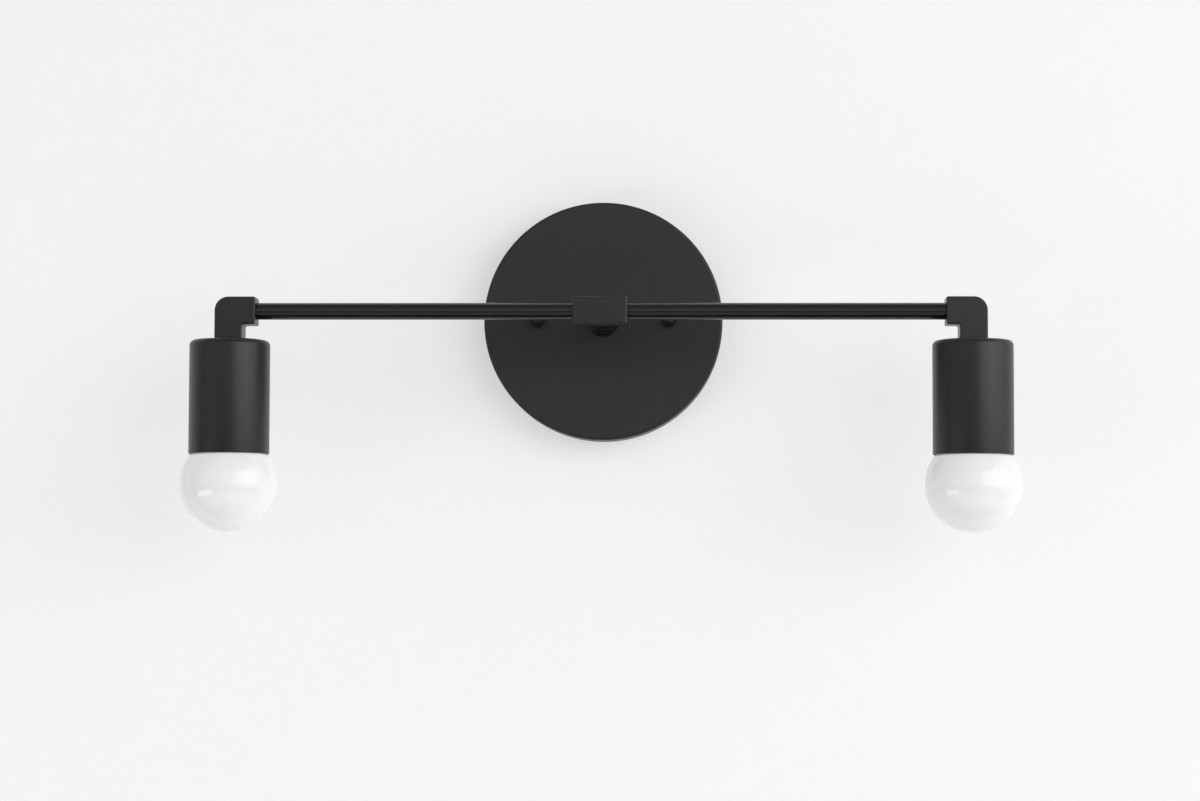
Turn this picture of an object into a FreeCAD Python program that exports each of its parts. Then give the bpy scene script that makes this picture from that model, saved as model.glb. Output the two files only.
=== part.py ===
import FreeCAD, Part
import math
import os

os.makedirs("parts", exist_ok=True)

# Two-light wall fixture in black steel and brass
# Millimetres. The wall is the plane Y = 0 and the room lies on the -Y side, +Z is up.
# The origin is the centre of the mounting strap, on the wall.

# Leads and the bores that they run through
lead_diameter = 2.1
lead_side_gap = 0.4
lead_layer_gap = 0.3
conductor_diameter = 1.0
bore_clearance = 0.57
bore_chamfer = 0.6
bend_radius_small = 3.0
bend_radius_elbow = 5.0

# Fits
thread_fit = 0.02
screw_hole_clearance = 0.3
spigot_end_gap = 0.3
cut_overrun = 1.0

# Canopy and what holds it
canopy_diameter = 127.0
canopy_depth = 20.0
canopy_wall = 1.2
canopy_edge_radius = 1.4
stud_spacing = 69.85
stud_rise = 1.0
stud_diameter = 4.17
stud_reach = 5.6
jam_nut_flats = 7.9
jam_nut_height = 2.4
cap_nut_flats = 7.94
cap_nut_hex_height = 3.4
cap_nut_dome_radius = 3.3
cap_nut_crown_height = 1.9
cap_nut_floor = 0.6

# Strap on the outlet box
strap_end_margin = 6.35
strap_width = 16.0
strap_thickness = 1.6
strap_corner_radius = 3.0
box_slot_spacing = 88.9
box_slot_width = 4.8
box_slot_length = 8.0
ground_screw_diameter = 4.1
ground_screw_head_diameter = 8.4
ground_screw_head_height = 2.2
ground_screw_slot_width = 1.0
ground_screw_slot_depth = 0.9
ground_lead_diameter = 1.2
lug_thickness = 0.6
lug_rim = 2.2
lug_neck_width = 4.0
lug_barrel_wall = 0.6
lug_barrel_length = 5.0
lug_barrel_gap = 1.2
ground_lead_rise = 2.0
ground_lead_straight = 0.6

# Stem
stem_wall = 1.79
stem_tail = 2.2
stem_engagement = 4.5
collar_diameter = 17.0
collar_height = 6.0
collar_rim = 0.8
collar_face = 0.6
collar_step = 0.25
collar_step_count = 2
washer_thickness = 0.8
washer_rim = 2.5
washer_tooth_count = 8
washer_tooth_gap = 1.6
washer_tooth_depth = 1.1
lock_nut_rim = 2.0
lock_nut_height = 3.2
nut_edge = 0.4

# Tee, arms and elbows
arm_standoff = 76.0
lamp_spacing = 381.0
fitting_section = 14.2
fitting_edge_radius = 0.8
tee_length = 27.9
arm_wall = 1.0
spigot_wall = 0.65
spigot_length = 8.2
elbow_reach = 13.8
elbow_drop = 15.0
elbow_corner_radius = 7.1
elbow_inner_radius = 1.0
channel_clearance = 0.15
nipple_engagement = 7.8

# Socket cup and lampholder
cup_diameter = 41.3
cup_height = 58.4
cup_wall = 0.8
cup_shoulder_radius = 2.8
cup_lip_radius = 0.25
nipple_tail = 1.0
bracket_thickness = 1.2
bracket_width = 14.0
bracket_span = 18.0
bracket_foot_length = 7.0
bracket_height = 10.2
bracket_screw_diameter = 3.2
bracket_screw_head_diameter = 6.0
bracket_screw_depth = 4.6
screw_head_height = 1.6
holder_diameter = 34.0
holder_floor = 6.0
holder_length = 33.0
holder_wall = 2.7
holder_edge_radius = 1.2
terminal_radius = 11.0
terminal_plate_side = 7.0
terminal_plate_gap = 0.1
terminal_screw_diameter = 3.2
terminal_screw_head_diameter = 6.4
terminal_screw_tail = 0.7
screw_slot_width = 0.8
screw_slot_depth = 0.8
shell_sheet = 0.35
shell_flange_bore = 9.0
shell_notch_width = 8.0
shell_lip = 2.0
contact_width = 5.0
contact_thickness = 0.5
contact_spring_drop = 1.85
contact_flat = 2.0
contact_slope = 3.0
contact_gap = 0.05

# Lamp base thread, shared by the screw shell and the bulb
thread_pitch = 3.629
base_root_radius = 12.3
thread_height = 0.8
thread_clearance = 0.25
thread_bite = 0.1
ridge_root_width = 1.6
ridge_crest_width = 0.6
shell_thread_turns = 5
base_thread_turns = 3.5

# Bulb
globe_diameter = 49.6
globe_wall = 0.9
globe_lip_gap = 0.26
globe_top_gap = 0.6
neck_radius = 12.7
neck_blend_radius = 3.0
neck_fit = 0.05
base_length = 27.0
base_skirt_length = 4.9
tip_radius = 4.8
tip_height = 1.0
tip_crown = 0.4
insulator_height = 4.6
insulator_seat = 2.0
insulator_rim = 0.8
mount_height = 14.0
mount_rod_radius = 3.0
mount_flare_height = 8.0
mount_sheet = 1.2
filament_diameter = 0.9
filament_span = 16.0
support_diameter = 0.5
support_drop = 13.0

# Wire connectors in the canopy
connector_length = 16.0
connector_mouth_offset = 14.0
connector_wall = 1.7
connector_clearance = 0.65
connector_tip_radius = 3.2
connector_depth_share = 0.7
connector_grip = 7.0
connector_rib_count = 10
connector_rib_width = 1.1
connector_rib_depth = 0.5

# Sizes that follow from these
lead_radius = lead_diameter / 2
side_offset = (lead_diameter + lead_side_gap) / 2
layer_offset = (lead_diameter + lead_layer_gap) / 2
bundle_radius = math.hypot(side_offset, layer_offset) + lead_radius
bore_radius = bundle_radius + bore_clearance
channel_radius = bore_radius + channel_clearance
stem_radius = bore_radius + stem_wall
arm_radius = bore_radius + arm_wall
spigot_radius = bore_radius + spigot_wall
canopy_inside = canopy_depth - canopy_wall
lock_nut_back = canopy_inside - washer_thickness - lug_thickness - lock_nut_height
stem_back = lock_nut_back - stem_tail
tee_back = arm_standoff - fitting_section / 2
stem_front = tee_back + stem_engagement
lead_turn = stem_back - bend_radius_small
strap_length = box_slot_spacing + 2 * strap_end_margin
lamp_across = lamp_spacing / 2
arm_start = tee_length / 2
arm_end = lamp_across - elbow_reach
cup_inside = -elbow_drop - cup_wall
cup_nut_under = cup_inside - washer_thickness - lock_nut_height
nipple_end = cup_nut_under - bracket_thickness - nipple_tail
holder_top = cup_nut_under - bracket_height
holder_floor_under = holder_top - holder_floor
holder_mouth = holder_top - holder_length
contact_under = holder_floor_under - contact_thickness - contact_spring_drop
bulb_top = contact_under - contact_gap
globe_radius = globe_diameter / 2
cup_mouth_radius = cup_diameter / 2 - cup_wall - globe_lip_gap
cup_mouth_level = -elbow_drop - cup_height
globe_below_mouth = math.sqrt(max(0, globe_radius ** 2 - cup_mouth_radius ** 2))
globe_centre = min(cup_mouth_level - globe_below_mouth, holder_mouth - globe_top_gap - globe_radius)
base_shell_top = bulb_top - tip_height - insulator_height
base_shell_end = bulb_top - base_length
skirt_top = base_shell_end + base_skirt_length
ridge_crest_radius = base_root_radius + thread_height
shell_crest_radius = base_root_radius + thread_clearance
shell_root_radius = ridge_crest_radius + thread_clearance
holder_bore_radius = holder_diameter / 2 - holder_wall
shell_end = holder_mouth + shell_lip
shell_thread_start = skirt_top + thread_clearance + ridge_root_width
terminal_lead_level = holder_top + terminal_plate_gap + lead_radius
plate_thickness = terminal_plate_gap + lead_radius - conductor_diameter / 2

LEFT = -1
RIGHT = 1
ACROSS = FreeCAD.Vector(1, 0, 0)
OUTWARD = FreeCAD.Vector(0, -1, 0)
INWARD = FreeCAD.Vector(0, 1, 0)
UP = FreeCAD.Vector(0, 0, 1)
DOWN = FreeCAD.Vector(0, 0, -1)


def at(across, out, up):
    """A point: across to the right, out from the wall, and up."""
    return FreeCAD.Vector(across, -out, up)


def rod(radius, length, base, direction):
    return Part.makeCylinder(radius, length, base, direction)


def sleeve(outer, inner, length, base, direction):
    """A plain tube, with its bore cut a little past both ends."""
    start = base - direction * cut_overrun
    return rod(outer, length, base, direction).cut(
        rod(inner, length + 2 * cut_overrun, start, direction))


def block(corner, opposite):
    """A box between any two opposite corners."""
    low = FreeCAD.Vector(min(corner.x, opposite.x), min(corner.y, opposite.y), min(corner.z, opposite.z))
    high = FreeCAD.Vector(max(corner.x, opposite.x), max(corner.y, opposite.y), max(corner.z, opposite.z))
    size = high - low
    return Part.makeBox(size.x, size.y, size.z, low)


def side_of(direction):
    """A unit vector square to the direction, to measure radii along."""
    return UP if abs(direction.x) + abs(direction.y) > abs(direction.z) else ACROSS


def hexagon(flats, height, base, direction):
    """A hexagon bar with two corners level, as the nuts sit."""
    first = ACROSS if abs(direction.x) < abs(direction.y) + abs(direction.z) else UP
    second = direction.cross(first)
    corner = flats / math.sqrt(3)
    points = []
    for step in range(7):
        angle = math.radians(60 * step)
        points.append(base + first * (corner * math.cos(angle)) + second * (corner * math.sin(angle)))
    return Part.Face(Part.makePolygon(points)).extrude(direction * height)


def turned(profile, base, direction):
    """Turn a profile of (radius, along) points. Four numbers are an arc: its middle, then its end."""
    side = side_of(direction)

    def place(radius, along):
        return base + side * radius + direction * along

    edges = []
    last = place(*profile[0])
    for step in profile[1:] + profile[:1]:
        end = place(*step[-2:])
        if len(step) > 2:
            edges.append(Part.Arc(last, place(*step[:2]), end).toShape())
        elif last.distanceToPoint(end) > 0:
            edges.append(Part.LineSegment(last, end).toShape())
        last = end
    return Part.Face(Part.Wire(edges)).revolve(base, direction, 360)


def nut(flats, bore, height, base, direction):
    """A plain hexagon nut with its corners turned off at both ends."""
    corner = flats / math.sqrt(3)
    blank = hexagon(flats, height, base, direction)
    limit = turned([(0, 0), (corner - nut_edge, 0), (corner, nut_edge), (corner, height - nut_edge),
                    (corner - nut_edge, height), (0, height)], base, direction)
    start = base - direction * cut_overrun
    return blank.common(limit).cut(rod(bore, height + 2 * cut_overrun, start, direction))


def tooth_washer(bore, base, direction):
    """A lock washer with teeth round its bore."""
    washer = sleeve(bore + washer_rim, bore, washer_thickness, base, direction)
    side = side_of(direction)
    start = base - direction * cut_overrun
    across = direction.cross(side)
    height = washer_thickness + 2 * cut_overrun
    corners = [start - across * (washer_tooth_gap / 2), start + across * (washer_tooth_gap / 2),
               start + across * (washer_tooth_gap / 2) + side * (bore + washer_tooth_depth),
               start - across * (washer_tooth_gap / 2) + side * (bore + washer_tooth_depth)]
    gap = Part.Face(Part.makePolygon(corners + corners[:1])).extrude(direction * height)
    for step in range(washer_tooth_count):
        notch = gap.copy()
        notch.rotate(base, direction, 360 * step / washer_tooth_count)
        washer = washer.cut(notch)
    return washer


def slotted_screw(shank_radius, shank_length, head_radius, head_height, slot, base, direction):
    """A pan head screw: base is the underside of its head, direction the way its shank points."""
    slot_width, slot_depth = slot
    head_edge = head_height / 3
    screw = turned([(0, shank_length), (shank_radius, shank_length), (shank_radius, 0), (head_radius, 0),
                    (head_radius, head_edge - head_height), (head_radius - head_edge, -head_height),
                    (0, -head_height)], base, direction)
    side = side_of(direction)
    across = direction.cross(side)
    reach = head_radius + cut_overrun
    start = base - direction * (head_height + cut_overrun)
    half = slot_width / 2
    corners = [start + side * reach + across * half, start - side * reach + across * half,
               start - side * reach - across * half, start + side * reach - across * half]
    groove = Part.Face(Part.makePolygon(corners + corners[:1]))
    return screw.cut(groove.extrude(direction * (slot_depth + cut_overrun)))


def rounded_path(points, radii):
    """Straight runs joined by tangent arcs, one radius for each inner point."""
    edges = []
    last = points[0]
    for index, radius in enumerate(radii):
        before, corner, after = points[index:index + 3]
        arrive = (corner - before).normalize()
        leave = (after - corner).normalize()
        half_turn = arrive.getAngle(leave) / 2
        reach = radius * math.tan(half_turn)
        start = corner - arrive * reach
        end = corner + leave * reach
        inside = (leave - arrive).normalize()
        middle = corner + inside * (radius / math.cos(half_turn) - radius)
        edges.append(Part.LineSegment(last, start).toShape())
        edges.append(Part.Arc(start, middle, end).toShape())
        last = end
    edges.append(Part.LineSegment(last, points[-1]).toShape())
    return Part.Wire(edges)


def wire_along(path, radius):
    """A round wire swept along a path of lines and arcs."""
    start = path.Vertexes[0].Point
    first = path.OrderedEdges[0]
    direction = first.tangentAt(first.FirstParameter)
    section = Part.Wire(Part.makeCircle(radius, start, direction))
    return path.makePipeShell([section], True, False)


def thread_ridge(root, crest, turns, start):
    """A right-hand ridge round the Z axis, wide at its root and narrow at its crest."""
    helix = Part.makeHelix(thread_pitch, thread_pitch * turns, root)
    half_root = ridge_root_width / 2
    half_crest = ridge_crest_width / 2
    corners = [FreeCAD.Vector(root, 0, -half_root), FreeCAD.Vector(crest, 0, -half_crest),
               FreeCAD.Vector(crest, 0, half_crest), FreeCAD.Vector(root, 0, half_root)]
    section = Part.makePolygon(corners + corners[:1])
    ridge = Part.Wire(helix).makePipeShell([section], True, True)
    ridge.translate(FreeCAD.Vector(0, 0, start))
    return ridge


def canopy():
    """Spun cover: a round face with a rolled front edge, open to the wall."""
    outer = canopy_diameter / 2
    inner = outer - canopy_wall
    edge = canopy_edge_radius
    inner_edge = max(edge - canopy_wall, edge / 4)
    turn_share = 1 - math.sqrt(0.5)
    shell = turned([(outer, 0), (outer, canopy_depth - edge),
                    (outer - edge * turn_share, canopy_depth - edge * turn_share, outer - edge, canopy_depth),
                    (stem_radius + screw_hole_clearance, canopy_depth),
                    (stem_radius + screw_hole_clearance, canopy_inside),
                    (inner - inner_edge, canopy_inside),
                    (inner - inner_edge * turn_share, canopy_inside - inner_edge * turn_share,
                     inner, canopy_inside - inner_edge),
                    (inner, 0)], at(0, 0, 0), OUTWARD)
    for side in (LEFT, RIGHT):
        hole = rod(stud_diameter / 2 + screw_hole_clearance, canopy_wall + 2 * cut_overrun,
                   at(side * stud_spacing / 2, canopy_inside - cut_overrun, stud_rise), OUTWARD)
        shell = shell.cut(hole)
    return shell


def mounting_strap():
    """Flat strap with a slot for each outlet box screw, stud holes and a hole for the ground screw."""
    half = strap_length / 2
    strap = block(at(-half, strap_thickness, -strap_width / 2), at(half, 0, strap_width / 2))
    corners = [edge for edge in strap.Edges if abs(edge.tangentAt(0).y) > abs(edge.tangentAt(0).x)
               and abs(edge.tangentAt(0).y) > abs(edge.tangentAt(0).z)]
    strap = strap.makeFillet(strap_corner_radius, corners)
    depth = strap_thickness + 2 * cut_overrun
    for side in (LEFT, RIGHT):
        stud_hole = rod(stud_diameter / 2 + thread_fit, depth,
                        at(side * stud_spacing / 2, -cut_overrun, stud_rise), OUTWARD)
        middle = side * box_slot_spacing / 2
        straight = (box_slot_length - box_slot_width) / 2
        slot = block(at(middle - straight, strap_thickness + cut_overrun, -box_slot_width / 2),
                     at(middle + straight, -cut_overrun, box_slot_width / 2))
        strap = strap.cut(stud_hole).cut(slot)
        for end in (-straight, straight):
            strap = strap.cut(rod(box_slot_width / 2, depth, at(middle + end, -cut_overrun, 0), OUTWARD))
    return strap.cut(rod(ground_screw_diameter / 2 + thread_fit, depth, at(0, -cut_overrun, 0), OUTWARD))


def canopy_stud(side):
    """Headless stud, screwed through the strap and out through the canopy."""
    length = canopy_depth + stud_reach
    radius = stud_diameter / 2
    edge = radius / 4
    return turned([(0, 0), (radius, 0), (radius, length - edge), (radius - edge, length), (0, length)],
                  at(side * stud_spacing / 2, 0, stud_rise), OUTWARD)


def stud_jam_nuts():
    nuts = [nut(jam_nut_flats, stud_diameter / 2 + thread_fit, jam_nut_height,
                at(side * stud_spacing / 2, strap_thickness, stud_rise), OUTWARD) for side in (LEFT, RIGHT)]
    return Part.makeCompound(nuts)


def cap_nut(side):
    """Closed nut with a round crown, screwed up against the canopy."""
    base = at(side * stud_spacing / 2, canopy_depth, stud_rise)
    corner = cap_nut_flats / math.sqrt(3)
    crown_base = cap_nut_hex_height + cap_nut_crown_height
    dome = cap_nut_dome_radius
    dome_share = math.sqrt(0.5)
    blank = hexagon(cap_nut_flats, cap_nut_hex_height, base, OUTWARD)
    limit = turned([(0, 0), (corner - nut_edge, 0), (corner, nut_edge),
                    (corner, cap_nut_hex_height - nut_edge), (corner - nut_edge, cap_nut_hex_height),
                    (0, cap_nut_hex_height)], base, OUTWARD)
    crown = turned([(0, 0), (dome, 0), (dome, crown_base),
                    (dome * dome_share, crown_base + dome * dome_share, 0, crown_base + dome)], base, OUTWARD)
    bore_depth = stud_reach + cap_nut_floor
    bore = rod(stud_diameter / 2 + thread_fit, bore_depth + cut_overrun, base + INWARD * cut_overrun, OUTWARD)
    return blank.common(limit).fuse(crown).removeSplitter().cut(bore)


def ground_screw():
    head_under = strap_thickness + ground_lead_diameter
    return slotted_screw(ground_screw_diameter / 2, head_under, ground_screw_head_diameter / 2,
                         ground_screw_head_height, (ground_screw_slot_width, ground_screw_slot_depth),
                         at(0, head_under, 0), INWARD)


def ground_lead():
    """Bare earth lead: a ring lug under the stem nut, and a bend back to the ground screw."""
    lug_back = lock_nut_back + lock_nut_height
    lug_bore = stem_radius + thread_fit
    ring = sleeve(lug_bore + lug_rim, lug_bore, lug_thickness, at(0, lug_back, 0), OUTWARD)
    barrel_start = lug_bore + lug_rim + lug_barrel_gap
    wire_radius = ground_lead_diameter / 2
    barrel_out = lug_back - lug_barrel_wall
    neck = block(at(-lug_neck_width / 2, lug_back + lug_thickness, lug_bore + lug_rim / 2),
                 at(lug_neck_width / 2, lug_back, barrel_start + lug_barrel_length / 2))
    barrel = rod(wire_radius + lug_barrel_wall, lug_barrel_length, at(0, barrel_out, barrel_start), UP)
    screw_level = strap_thickness + wire_radius
    bend_radius = (barrel_out - screw_level - ground_lead_straight) / 2
    bend_level = barrel_start + lug_barrel_length + ground_lead_rise
    path = rounded_path([at(0, barrel_out, barrel_start + lug_barrel_length / 2),
                         at(0, barrel_out, bend_level + bend_radius),
                         at(0, screw_level, bend_level + bend_radius),
                         at(0, screw_level, ground_screw_diameter / 2 + spigot_end_gap)],
                        [bend_radius, bend_radius])
    return ring.fuse([neck, barrel, wire_along(path, wire_radius)]).removeSplitter()


def stem():
    """Threaded tube from the canopy to the tee, with its bore deburred for the leads."""
    length = stem_front - stem_back
    return turned([(bore_radius + bore_chamfer, 0), (stem_radius, 0), (stem_radius, length),
                   (bore_radius + bore_chamfer, length), (bore_radius, length - bore_chamfer),
                   (bore_radius, bore_chamfer)], at(0, stem_back, 0), OUTWARD)


def stem_collar():
    """Turned ring at the foot of the stem, stepped down towards the room."""
    bore = stem_radius + thread_fit
    outer = collar_diameter / 2
    rise = (collar_height - collar_rim) / collar_step_count
    taper = (outer - bore - collar_face) / collar_step_count
    points = [(bore, 0), (outer, 0)]
    for index in range(collar_step_count):
        level = collar_rim + index * rise
        foot = outer - index * taper
        points += [(foot, level), (foot - collar_step, level)]
    points += [(bore + collar_face, collar_height), (bore, collar_height)]
    return turned(points, at(0, canopy_depth, 0), OUTWARD)


def stem_lock_washer():
    return tooth_washer(stem_radius + thread_fit, at(0, canopy_inside, 0), INWARD)


def stem_lock_nut():
    return nut(2 * (stem_radius + lock_nut_rim), stem_radius + thread_fit, lock_nut_height,
               at(0, lock_nut_back, 0), OUTWARD)


def tee():
    """Square block with a socket for each arm, one for the stem, and channels for the leads between them."""
    half = fitting_section / 2
    body = block(at(-arm_start, arm_standoff + half, -half), at(arm_start, tee_back, half))
    body = body.makeFillet(fitting_edge_radius, body.Edges)
    socket_depth = spigot_length + spigot_end_gap
    for side in (LEFT, RIGHT):
        socket = rod(spigot_radius + thread_fit, socket_depth + cut_overrun,
                     at(side * (arm_start + cut_overrun), arm_standoff, 0), ACROSS * -side)
        body = body.cut(socket)
    through = rod(channel_radius, tee_length - socket_depth,
                  at(socket_depth / 2 - arm_start, arm_standoff, 0), ACROSS)
    stem_socket = rod(stem_radius + thread_fit, stem_engagement + cut_overrun,
                      at(0, tee_back - cut_overrun, 0), OUTWARD)
    down_stem = rod(bore_radius + bore_chamfer, arm_standoff - tee_back, at(0, tee_back, 0), OUTWARD)
    return body.cut(through).cut(stem_socket).cut(down_stem)


def arm(side):
    """Round tube with a turned-down spigot at each end."""
    length = arm_end - arm_start
    return turned([(bore_radius, -spigot_length), (spigot_radius, -spigot_length), (spigot_radius, 0),
                   (arm_radius, 0), (arm_radius, length), (spigot_radius, length),
                   (spigot_radius, length + spigot_length), (bore_radius, length + spigot_length)],
                  at(side * arm_start, arm_standoff, 0), ACROSS * side)


def elbow(side):
    """Square elbow with a rounded outer corner, an arm socket inwards and a nipple socket below."""
    half = fitting_section / 2
    round_share = 1 - math.sqrt(0.5)
    corner = elbow_corner_radius
    inner = elbow_inner_radius
    back = tee_back
    points = [at(-elbow_reach, back, half), at(half - corner, back, half), at(half, back, half - corner),
              at(half, back, -elbow_drop), at(-half, back, -elbow_drop), at(-half, back, -half - inner),
              at(-half - inner, back, -half), at(-elbow_reach, back, -half)]
    outer_mid = at(half - corner * round_share, back, half - corner * round_share)
    inner_mid = at(-half - inner * round_share, back, -half - inner * round_share)
    edges = []
    for index, start in enumerate(points):
        end = points[(index + 1) % len(points)]
        middle = {1: outer_mid, 5: inner_mid}.get(index)
        edge = Part.Arc(start, middle, end) if middle else Part.LineSegment(start, end)
        edges.append(edge.toShape())
    body = Part.Face(Part.Wire(edges)).extrude(OUTWARD * fitting_section)
    body = body.makeFillet(fitting_edge_radius, [edge for edge in body.Edges if edge.Length > 2 * inner])
    socket_depth = spigot_length + spigot_end_gap
    arm_socket = rod(spigot_radius + thread_fit, socket_depth + cut_overrun,
                     at(-elbow_reach - cut_overrun, arm_standoff, 0), ACROSS)
    arm_channel = rod(channel_radius, elbow_reach, at(-elbow_reach, arm_standoff, 0), ACROSS)
    corner_ball = Part.makeSphere(channel_radius, at(0, arm_standoff, 0))
    leg_channel = rod(channel_radius, elbow_drop, at(0, arm_standoff, 0), DOWN)
    nipple_socket = rod(stem_radius + thread_fit, nipple_engagement + spigot_end_gap + cut_overrun,
                        at(0, arm_standoff, -elbow_drop - cut_overrun), UP)
    body = body.cut(arm_socket).cut(arm_channel).cut(corner_ball).cut(leg_channel).cut(nipple_socket)
    if side == LEFT:
        body = body.mirror(FreeCAD.Vector(0, 0, 0), ACROSS)
    body.translate(at(side * lamp_across, 0, 0))
    return body


def socket_nipple():
    top = nipple_engagement - elbow_drop
    length = top - nipple_end
    return turned([(bore_radius, bore_chamfer), (bore_radius + bore_chamfer, 0), (stem_radius, 0),
                   (stem_radius, length), (bore_radius + bore_chamfer, length),
                   (bore_radius, length - bore_chamfer)], at(0, 0, top), DOWN)


def socket_cup():
    """Drawn cup with a rounded shoulder, open below, clamped under the elbow."""
    outer = cup_diameter / 2
    inner = outer - cup_wall
    shoulder = cup_shoulder_radius
    inner_shoulder = max(shoulder - cup_wall, shoulder / 4)
    share = 1 - math.sqrt(0.5)
    bore = stem_radius + screw_hole_clearance
    lip = cup_lip_radius
    return turned([(bore, 0), (outer - shoulder, 0),
                   (outer - shoulder * share, shoulder * share, outer, shoulder),
                   (outer, cup_height - lip),
                   (outer - lip * share, cup_height - lip * share, outer - lip, cup_height),
                   (inner, cup_height), (inner, cup_wall + inner_shoulder),
                   (inner - inner_shoulder * share, cup_wall + inner_shoulder * share,
                    inner - inner_shoulder, cup_wall),
                   (bore, cup_wall)], at(0, 0, -elbow_drop), DOWN)


def cup_lock_washer():
    return tooth_washer(stem_radius + thread_fit, at(0, 0, cup_inside), DOWN)


def cup_lock_nut():
    return nut(2 * (stem_radius + lock_nut_rim), stem_radius + thread_fit, lock_nut_height,
               at(0, 0, cup_inside - washer_thickness), DOWN)


def bracket_screw_across():
    return (bracket_span + bracket_foot_length) / 2


def socket_bracket():
    """Bent strip that screws on the nipple and carries the lampholder on its two feet."""
    half_width = bracket_width / 2
    half_span = bracket_span / 2
    sheet = bracket_thickness
    bracket = block(at(-half_span, half_width, cup_nut_under - sheet),
                    at(half_span, -half_width, cup_nut_under))
    for side in (LEFT, RIGHT):
        low, high = sorted((side * half_span, side * (half_span - sheet)))
        leg = block(at(low, half_width, holder_top), at(high, -half_width, cup_nut_under))
        low, high = sorted((side * (half_span - sheet), side * (half_span + bracket_foot_length)))
        foot = block(at(low, half_width / 2, holder_top), at(high, -half_width / 2, holder_top + sheet))
        bracket = bracket.fuse(leg).fuse(foot)
        hole = rod(bracket_screw_diameter / 2 + screw_hole_clearance, sheet + 2 * cut_overrun,
                   at(side * bracket_screw_across(), 0, holder_top - cut_overrun), UP)
        bracket = bracket.cut(hole)
    bore = rod(stem_radius + thread_fit, sheet + 2 * cut_overrun, at(0, 0, cup_nut_under + cut_overrun), DOWN)
    return bracket.removeSplitter().cut(bore)


def bracket_screws():
    screws = [slotted_screw(bracket_screw_diameter / 2, bracket_thickness + bracket_screw_depth,
                            bracket_screw_head_diameter / 2, screw_head_height,
                            (screw_slot_width, screw_slot_depth),
                            at(side * bracket_screw_across(), 0, holder_top + bracket_thickness), DOWN)
              for side in (LEFT, RIGHT)]
    return Part.makeCompound(screws)


def lampholder():
    """Porcelain body: a thick floor above, and a deep bore below for the screw shell."""
    outer = holder_diameter / 2
    edge = holder_edge_radius
    body = turned([(0, 0), (outer - edge, 0), (outer, edge), (outer, holder_length - edge),
                   (outer - edge, holder_length), (holder_bore_radius, holder_length),
                   (holder_bore_radius, holder_floor), (0, holder_floor)], at(0, 0, holder_top), DOWN)
    for side in (LEFT, RIGHT):
        screw_hole = rod(bracket_screw_diameter / 2 + thread_fit,
                         bracket_screw_depth + spigot_end_gap + cut_overrun,
                         at(side * bracket_screw_across(), 0, holder_top + cut_overrun), DOWN)
        terminal_hole = rod(terminal_screw_diameter / 2 + screw_hole_clearance,
                            holder_floor + 2 * cut_overrun,
                            at(0, side * terminal_radius, holder_top + cut_overrun), DOWN)
        body = body.cut(screw_hole).cut(terminal_hole)
    return body


def terminal_plates():
    plates = []
    for side in (LEFT, RIGHT):
        half = terminal_plate_side / 2
        middle = side * terminal_radius
        plate = block(at(-half, middle + half, holder_top),
                      at(half, middle - half, holder_top + plate_thickness))
        hole = rod(terminal_screw_diameter / 2 + thread_fit, plate_thickness + 2 * cut_overrun,
                   at(0, middle, holder_top - cut_overrun), UP)
        plates.append(plate.cut(hole))
    return Part.makeCompound(plates)


def terminal_screws():
    under = holder_top + plate_thickness + conductor_diameter
    length = under - holder_floor_under + contact_thickness + terminal_screw_tail
    screws = [slotted_screw(terminal_screw_diameter / 2, length, terminal_screw_head_diameter / 2,
                            screw_head_height, (screw_slot_width, screw_slot_depth),
                            at(0, side * terminal_radius, under), DOWN)
              for side in (LEFT, RIGHT)]
    return Part.makeCompound(screws)


def screw_shell():
    """Threaded brass shell: a flange under the porcelain floor, notched clear of the centre contact."""
    length = holder_floor_under - shell_end
    outer = shell_root_radius + shell_sheet
    shell = turned([(shell_flange_bore, 0), (outer, 0), (outer, length), (shell_root_radius, length),
                    (shell_root_radius, shell_sheet), (shell_flange_bore, shell_sheet)],
                   at(0, 0, holder_floor_under), DOWN)
    half_notch = shell_notch_width / 2
    notch = block(at(-half_notch, 0, holder_floor_under - shell_sheet),
                  at(half_notch, -shell_root_radius, holder_floor_under + cut_overrun))
    hole = rod(terminal_screw_diameter / 2 + thread_fit, shell_sheet + 2 * cut_overrun,
               at(0, terminal_radius, holder_floor_under + cut_overrun), DOWN)
    ridge = thread_ridge(shell_root_radius + thread_bite, shell_crest_radius, shell_thread_turns,
                         shell_thread_start)
    return shell.cut(notch).cut(hole).fuse(ridge)


def centre_contact():
    """Brass strip from its terminal screw to the middle, where it springs down onto the bulb."""
    half = contact_width / 2
    far = terminal_radius + terminal_screw_diameter / 2
    top = holder_floor_under
    sheet = contact_thickness
    knee = contact_flat + contact_slope
    low = top - contact_spring_drop
    outline = [(far, top), (knee, top), (contact_flat, low), (-contact_flat, low),
               (-contact_flat, low - sheet), (contact_flat, low - sheet), (knee, top - sheet),
               (far, top - sheet)]
    points = [FreeCAD.Vector(-half, along, up) for along, up in outline]
    strip = Part.Face(Part.makePolygon(points + points[:1])).extrude(ACROSS * contact_width)
    hole = rod(terminal_screw_diameter / 2 + thread_fit, sheet + 2 * cut_overrun,
               at(0, -terminal_radius, top + cut_overrun), DOWN)
    return strip.cut(hole)


def bulb_tip():
    """Soldered end contact of the lamp."""
    return turned([(0, 0), (tip_radius / 2, tip_crown / 4, tip_radius, tip_crown),
                   (tip_radius, tip_height), (0, tip_height)], at(0, 0, bulb_top), DOWN)


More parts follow.
